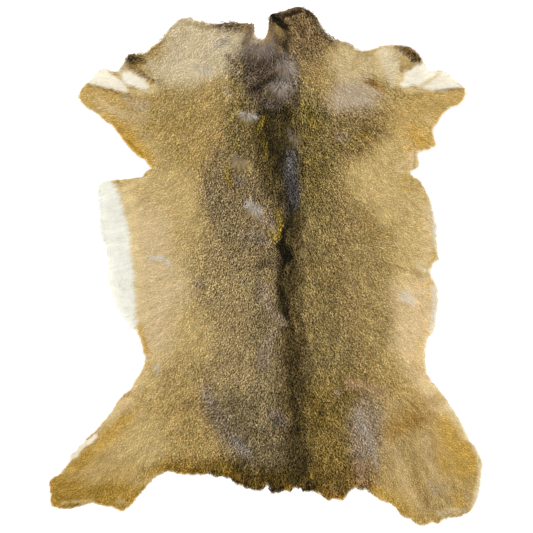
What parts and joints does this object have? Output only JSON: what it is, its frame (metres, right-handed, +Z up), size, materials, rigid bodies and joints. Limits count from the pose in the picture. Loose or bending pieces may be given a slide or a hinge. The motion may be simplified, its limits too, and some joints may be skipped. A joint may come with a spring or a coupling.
{
  "type": "deerskin rug",
  "caption": "A whole tanned deer hide with its hair on, laid flat as a floor rug, hair side up, with neck and leg skins.",
  "frame": {"origin": "the floor under the middle of the hide's bounding box", "axes": "+Y along the back towards the neck, +X to the right of the hide seen from above, +Z up through the hair"},
  "size_m": [0.9966, 1.1958, 0.0235],
  "materials": {
    "deer_coat": "short lying hair, flecked olive brown, with a near black back line, tan legs and cream belly edges",
    "tanned_skin": "soft suede flesh side and cut edge, pale cream"
  },
  "bodies": {
    "root": {"hide": "deer_coat"}
  },
  "joints": []
}
